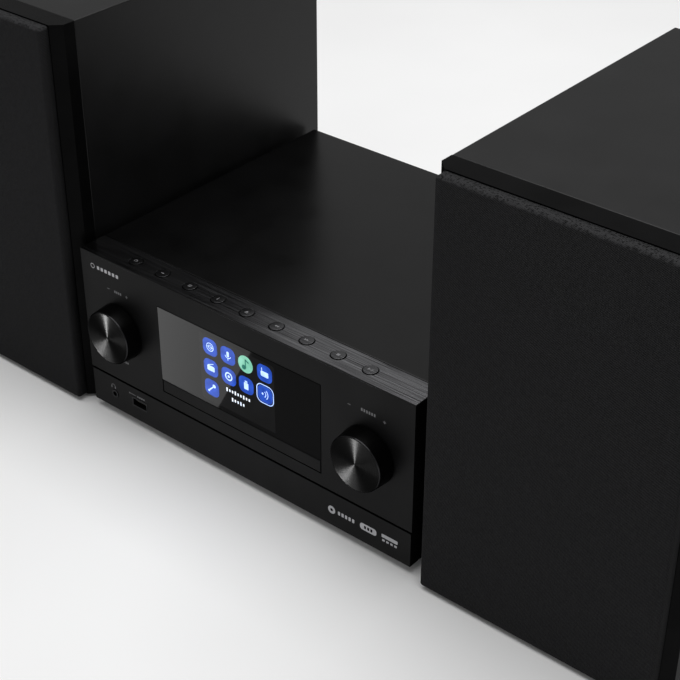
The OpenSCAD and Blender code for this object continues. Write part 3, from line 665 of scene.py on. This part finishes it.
def build_prints():
    """The printed marks on the front panels. Places are in millimetres from the middle and from the unit's
    top edge."""
    origin = (0, FRONT, TOP)
    on_panel, on_print = -0.005, 0.03
    maker = ring(-129, -9.7, 1.9, 0.5) + word(-125.5, -104, -9.7, 2.6, 6)
    under_tune = word(-109, -101.5, -76.3, 1.6, 4)
    over_volume = minus(91.1, -21.4) + word(99.8, 111.4, -20.8, 2.1, 6) + plus(117.8, -22.3)
    over_tune = minus(-115.2, -22.1) + word(-109.9, -102.8, -22.3, 1.8, 4) + plus(-98, -22.3)
    layers = [("print", maker, on_panel), ("faint", under_tune + over_volume + over_tune, on_panel)]
    printed("fascia_marks", layers, origin, "root")

    phones = arc(-119.7, -102.4, 1.9, 0.4, 0, 180)
    phones += rounded(-121.4, -103, 0.9, 1.9, 0.3) + rounded(-118.0, -103, 0.9, 1.9, 0.3)
    over_usb = line(-103.2, -100.6, -97.5, -100.6, 0.4) + disc(-103.4, -100.6, 0.6)
    over_usb += word(-96.3, -88.5, -100.6, 1.4, 4)
    row = -108.3
    badges = disc(77.4, row, 2.9) + word(82, 96.2, row, 2.8, 5)
    badges += rounded(106.7, row, 13, 5.0, 2.0)
    badges += rounded(123.4, row + 1.1, 12.4, 2.6, 0.5) + word(117.2, 129.6, row - 2.3, 1.6, 4)
    layers = [("print", badges, on_panel), ("faint", phones + over_usb, on_panel)]
    printed("lower_panel_marks", layers, origin, "root")
    holes = disc(77.4, row, 1.1) + word(103, 110.5, row, 2.4, 3)
    printed("badge_cutouts", [("gap", holes, on_print)], origin, "root")


def build_usb_inside():
    """The tongue in the USB socket, and its four contacts."""
    low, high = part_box("usb_port")
    middle = (low.x + high.x) / 2
    side_gap = 1.9 * MM
    tongue_base = high.z - 3.5 * MM
    tongue_top = high.z - 1.5 * MM
    pitch = 2.2 * MM
    half_contact = 0.5 * MM
    tongue = bmesh.new()
    box_mesh(tongue, (low.x + side_gap, FRONT + 1.5 * MM, tongue_base),
             (high.x - side_gap, FRONT + 12 * MM, tongue_top), 0.2 * MM, 2)
    finish_piece("usb_tongue", tongue, ["moulding"], "root")
    contacts = bmesh.new()
    for k in range(4):
        x = middle + (k - 1.5) * pitch
        box_mesh(contacts, (x - half_contact, FRONT + 1.7 * MM, tongue_base - 0.1 * MM),
                 (x + half_contact, FRONT + 9 * MM, tongue_base + 0.05 * MM))
    finish_piece("usb_contacts", contacts, ["brass"], "root")


def build_mains_pins():
    """The two round pins in the mains inlet."""
    low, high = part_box("mains_inlet")
    centre = (low + high) / 2
    half_spacing = 4.3 * MM
    outline = filleted(metres([(0, -1), (1.3, -1), (1.3, -12), (0, -12)]), 0.6 * MM)
    pins = bmesh.new()
    for side in (-1, 1):
        turn(pins, outline, steps=32, centre=(side * half_spacing, 0, 0))
    finish_piece("mains_pins", pins, ["nickel"], "root", (centre.x, REAR, centre.z))


def build_collars(name, middle, spread, rows, near, far, radius, body):
    """The nuts of a block of terminals: red at one side and black at the other, in the given rows."""
    outline = filleted([(0, far), (radius, far), (radius, near), (0, near)], 0.6 * MM)
    for paint, side in (("red", 1), ("collar", -1)):
        bm = bmesh.new()
        for row in rows:
            turn(bm, outline, steps=40, centre=(side * spread, 0, row))
        finish_piece(f"{name}_{paint}", bm, [paint], body, middle)


def build_rear_posts():
    """The two pairs of speaker terminals on the unit's rear."""
    low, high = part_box("speaker_sockets")
    middle = ((low.x + high.x) / 2, REAR, (low.z + high.z) / 2)
    build_collars("rear_posts", middle, spread=13 * MM, rows=[-10 * MM, 10 * MM], near=2.8 * MM,
                  far=9.2 * MM, radius=5.2 * MM, body="root")


# ---------- speakers ----------

def build_speaker(side):
    """One speaker, with its grille and its drivers."""
    body = side + "_speaker"
    refine(side + "_cabinet", "vinyl", 0.7 * MM, 3)
    refine(side + "_baffle", "baffle", 0.5 * MM, 3)
    refine(side + "_grille_frame", "moulding", 0.5 * MM)
    refine(side + "_terminal_plate", "moulding", 0.4 * MM)
    refine(side + "_port_tube", "moulding", 0.3 * MM)
    refine(side + "_feet", "rubber", 0.5 * MM, 3)
    build_cloth(side)
    build_woofer(side)
    build_tweeter(side)
    low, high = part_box(side + "_terminal_plate")
    middle = ((low.x + high.x) / 2, high.y, (low.z + high.z) / 2)
    build_collars(side + "_terminals", middle, spread=14 * MM, rows=[0], near=-14 * MM, far=-2.8 * MM,
                  radius=5.7 * MM, body=body)


def build_cloth(side):
    """The cloth, stretched over the grille's front and folded back round its four edges."""
    node = side + "_grille_cloth"
    low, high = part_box(node)
    bm = bmesh.new()
    box_mesh(bm, low, high)
    back = [face for face in bm.faces if face.calc_center_median().y > high.y - TINY]
    bmesh.ops.delete(bm, geom=back, context="FACES_ONLY")
    folds = [edge for edge in bm.edges if len(edge.link_faces) == 2]
    bmesh.ops.bevel(bm, geom=folds, offset=2.2 * MM, segments=6, profile=0.5, affect="EDGES")
    cloth = finish_piece(node + "_cover", bm, ["cloth"], body_of(node), stands_for=[node])
    thickness = cloth.modifiers.new("thickness", "SOLIDIFY")
    thickness.thickness = 0.5 * MM
    thickness.offset = -1


def build_screws(name, body, middle, circle, count, profile):
    """Screw heads on a circle; the profile of a head is in millimetres."""
    outline = filleted(metres(profile), 0.2 * MM)
    bm = bmesh.new()
    for k in range(count):
        angle = math.tau * (k + 0.5) / count
        turn(bm, outline, steps=24, centre=(circle * math.cos(angle), 0, circle * math.sin(angle)))
    finish_piece(name, bm, ["steel"], body, middle)


def build_woofer(side):
    """The woofer: its basket with the rolled surround, eight screws and the coated cone."""
    low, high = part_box(side + "_woofer_frame")
    edge = (high.x - low.x) / 2
    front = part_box(side + "_woofer_cone")[0].y
    middle = ((low.x + high.x) / 2, front, (low.z + high.z) / 2)
    repaint(side + "_woofer_frame", "surround")
    head = [(0, -0.3), (0.7, -0.3), (0.8, -0.9), (2.2, -0.7), (2.5, 0.2), (0, 0.2)]
    build_screws(side + "_woofer_screws", side + "_speaker", middle, edge - 3.2 * MM, 8, head)
    refine(side + "_woofer_cone", "cone", 0.2 * MM)


def build_tweeter(side):
    """The tweeter: a moulded plate with a silk dome and four screws."""
    body = side + "_speaker"
    low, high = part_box(side + "_tweeter")
    x, z = (low.x + high.x) / 2, (low.z + high.z) / 2
    edge = (high.x - low.x) / 2
    refine(side + "_tweeter", "moulding", 0.3 * MM)
    dome_r, dome_height, dome_sweep, dome_back = 13 * MM, 4.4 * MM, 72, 6 * MM
    steps = 10
    ball = []
    for k in range(steps + 1):
        radius = dome_r * math.sin(math.radians(dome_sweep * k / steps))
        ball.append((radius, dome_height * (1 - math.cos(math.radians(90 * k / steps)))))
    dome = bmesh.new()
    turn(dome, ball + [(10 * MM, dome_back), (0, dome_back)], steps=64)
    finish_piece(side + "_tweeter_dome", dome, ["dome"], body, (x, low.y - 0.1 * MM, z))
    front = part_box(side + "_woofer_cone")[0].y
    head = [(0, -0.2), (0.7, -0.2), (2.0, -0.5), (2.3, 0.3), (0, 0.3)]
    build_screws(side + "_tweeter_screws", body, (x, front, z), edge - 5 * MM, 4, head)


# ---------- studio ----------

def build_floor():
    """Plain pale paper."""
    bm = bmesh.new()
    bmesh.ops.create_grid(bm, x_segments=1, y_segments=1, size=6)
    mesh = bpy.data.meshes.new("floor")
    bm.to_mesh(mesh)
    bm.free()
    paint = Paint("floor_paper", **specular(0.1))
    clouds = paint.noise(0.25, detail=2.0)
    paint.colour(clouds, (0.86, 0.86, 0.86), (0.90, 0.90, 0.90))
    paint.roughness(clouds, 0.85, 0.95)
    mesh.materials.append(paint.material)
    floor = bpy.data.objects.new("floor", mesh)
    bpy.context.scene.collection.objects.link(floor)


def build_light(name, place, aim, size, power):
    """A soft box at a place, turned to an aim. Its size is its width and height. Its power is in watts."""
    lamp = bpy.data.lights.new(name, "AREA")
    lamp.shape = "RECTANGLE"
    lamp.size, lamp.size_y = size
    lamp.energy = power
    light = bpy.data.objects.new(name, lamp)
    light.location = place
    light.rotation_euler = (Vector(aim) - Vector(place)).to_track_quat("-Z", "Y").to_euler()
    bpy.context.scene.collection.objects.link(light)
    return light


def build_card(name, place, aim, size, power, mirrors):
    """A light card that only the named pieces mirror."""
    card = build_light(name, place, aim, size, power)
    card.visible_camera = False
    group = bpy.data.collections.new(name + "_mirrors")
    for mirror in mirrors:
        group.objects.link(bpy.data.objects[mirror])
    card.light_linking.receiver_collection = group
    return card


def build_gleam(face, name, angle, tilt, width, power):
    """A card that a knob's face mirrors to the camera as a streak at this angle, counted from the right."""
    distance = 1.5
    middle = bpy.data.objects[face].location
    view = (bpy.data.objects["camera"].location - middle).normalized()
    angle, tilt = math.radians(angle), math.radians(tilt)
    half = Vector((math.sin(tilt) * math.cos(angle), -math.cos(tilt), math.sin(tilt) * math.sin(angle)))
    toward = 2 * half.dot(view) * half - view
    card = build_card(face + name, middle + distance * toward, middle, (width, width), power, [face])
    card.light_linking.blocker_collection = card.light_linking.receiver_collection


def build_knob_cards():
    """Three cards for each knob's face: above, low on the left, and a faint one on the right."""
    for face, high, low in (("tune_knob_face", 140, 66), ("volume_knob_face", 100, 86)):
        build_gleam(face, "_high", angle=90, tilt=22, width=0.12, power=high)
        build_gleam(face, "_low", angle=-120, tilt=10, width=0.10, power=low)
        build_gleam(face, "_side", angle=12, tilt=20, width=0.25, power=high / 8)


def build_window_card():
    """A card on the floor, in front on the left, that the display window mirrors with a slanting edge. It
    fades from its left side to its right."""
    place = Vector((-0.2363, -0.171, 1.5 * MM))
    slant = math.radians(-24.5)
    left, right = 1.6, 0.5
    mirrors = ["display_window_shell", "display_picture"]
    card = build_card("window_card", place, place + Vector((0, 0, 1)), (0.3, 1.2), 11.0, mirrors)
    card.rotation_euler = Euler((math.pi, 0, slant))
    card.data.use_nodes = True
    nodes, links = card.data.node_tree.nodes, card.data.node_tree.links
    across = nodes.new("ShaderNodeSeparateXYZ")
    links.new(nodes.new("ShaderNodeNewGeometry").outputs["Parametric"], across.inputs["Vector"])
    fade = nodes.new("ShaderNodeMapRange")
    fade.inputs["To Min"].default_value = left
    fade.inputs["To Max"].default_value = right
    links.new(across.outputs["X"], fade.inputs["Value"])
    links.new(fade.outputs["Result"], nodes["Emission"].inputs["Strength"])


def build_world():
    """A white room that lights the object less brightly than the camera sees it."""
    lighting, seen = 0.36, 1.0
    world = bpy.data.worlds.new("studio")
    world.use_nodes = True
    nodes, links = world.node_tree.nodes, world.node_tree.links
    background = nodes["Background"]
    background.inputs["Color"].default_value = (1.0, 1.0, 1.0, 1)
    strength = nodes.new("ShaderNodeMapRange")
    strength.inputs["To Min"].default_value = lighting
    strength.inputs["To Max"].default_value = seen
    links.new(nodes.new("ShaderNodeLightPath").outputs["Is Camera Ray"], strength.inputs["Value"])
    links.new(strength.outputs["Result"], background.inputs["Strength"])
    bpy.context.scene.world = world


def build_studio():
    build_world()
    build_floor()
    build_light("overhead", (0.1, 0.1, 1.8), (0.1, 0.1, 0), (2.0, 2.0), 34)
    build_window_card()
    build_knob_cards()
    bpy.context.scene.view_settings.view_transform = "Standard"


def build_camera():
    """The camera looks down on the front from the right."""
    camera = bpy.data.cameras.new("camera")
    camera.lens = 81.48
    camera.sensor_width = 36
    eye = bpy.data.objects.new("camera", camera)
    eye.location = (0.56086, -0.68544, 0.63006)
    elevation, azimuth = math.radians(33.03), math.radians(39.97)
    eye.rotation_euler = Euler((math.pi / 2 - elevation, 0, azimuth))
    bpy.context.scene.collection.objects.link(eye)
    bpy.context.scene.camera = eye


build_camera()
build_casing()
build_inside()
build_knob("tune_knob")
build_knob("volume_knob")
build_buttons()
build_display()
build_prints()
build_usb_inside()
build_mains_pins()
build_rear_posts()
for speaker_side in SIDES:
    build_speaker(speaker_side)
build_studio()
